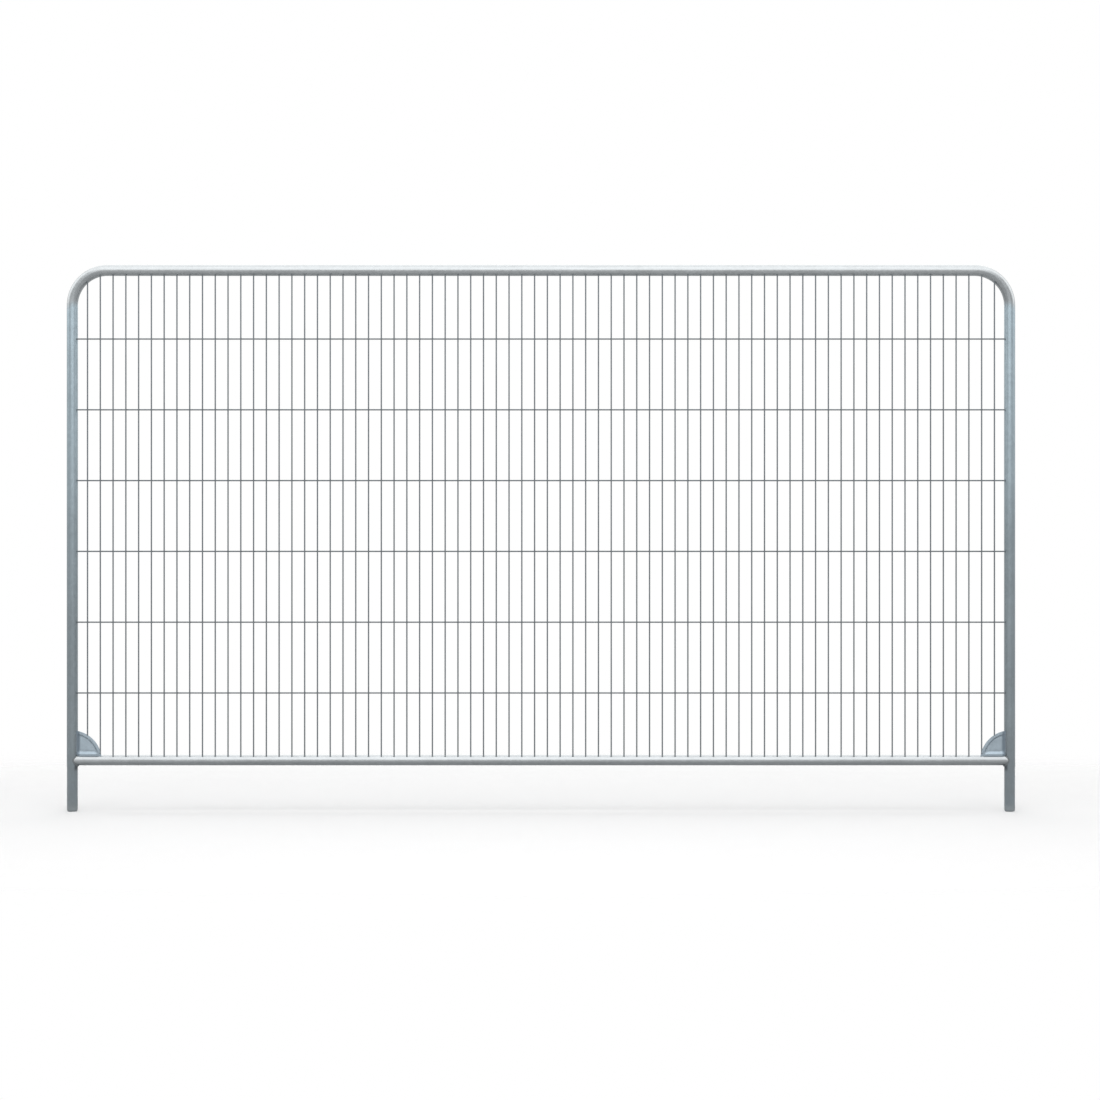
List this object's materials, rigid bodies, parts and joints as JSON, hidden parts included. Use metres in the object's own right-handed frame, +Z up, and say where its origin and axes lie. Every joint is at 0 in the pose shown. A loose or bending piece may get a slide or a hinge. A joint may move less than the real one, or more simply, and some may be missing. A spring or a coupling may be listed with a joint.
{
  "type": "temporary fence panel",
  "caption": "Round-top temporary fence panel: a bent steel tube hoop and bottom rail filled with welded wire mesh, braced by corner gussets and stood on open tube legs.",
  "frame": {"origin": "midway between the legs, at the level of the foot ends and in the middle of the tubes' depth", "axes": "+X along the panel, +Y towards the back, +Z up; the wires lie on the front side, towards -Y"},
  "size_m": [3.472, 0.04, 2],
  "materials": {
    "tube": "hot-dip galvanised, satin with a faint spangle",
    "rail": "hot-dip galvanised, satin with a faint spangle",
    "gusset": "hot-dip galvanised pressed sheet, satin",
    "wire": "galvanised drawn wire, dull",
    "weld": "galvanised weld metal, matte and rippled"
  },
  "bodies": {
    "root": {"frame_hoop": "tube", "bottom_rail": "rail", "left_gusset": "gusset", "right_gusset": "gusset", "left_rail_weld": "weld", "right_rail_weld": "weld", "left_gusset_welds": "weld", "right_gusset_welds": "weld", "cross_wire_1": "wire", "cross_wire_2": "wire", "cross_wire_3": "wire", "cross_wire_4": "wire", "cross_wire_5": "wire", "cross_wire_6": "wire", "wire_pair_01": "wire", "wire_pair_02": "wire", "wire_pair_03": "wire", "wire_pair_04": "wire", "wire_pair_05": "wire", "wire_pair_06": "wire", "wire_pair_07": "wire", "wire_pair_08": "wire", "wire_pair_09": "wire", "wire_pair_10": "wire", "wire_pair_11": "wire", "wire_pair_12": "wire", "wire_pair_13": "wire", "wire_pair_14": "wire", "wire_pair_15": "wire", "wire_pair_16": "wire", "wire_pair_17": "wire", "wire_pair_18": "wire", "wire_pair_19": "wire", "wire_pair_20": "wire", "wire_pair_21": "wire", "wire_pair_22": "wire", "wire_pair_23": "wire", "wire_pair_24": "wire", "wire_pair_25": "wire", "wire_pair_26": "wire", "wire_pair_27": "wire", "wire_pair_28": "wire", "wire_pair_29": "wire", "wire_pair_30": "wire", "wire_pair_31": "wire", "wire_pair_32": "wire", "wire_pair_33": "wire", "wire_pair_34": "wire", "wire_pair_35": "wire", "wire_pair_36": "wire"}
  },
  "joints": []
}
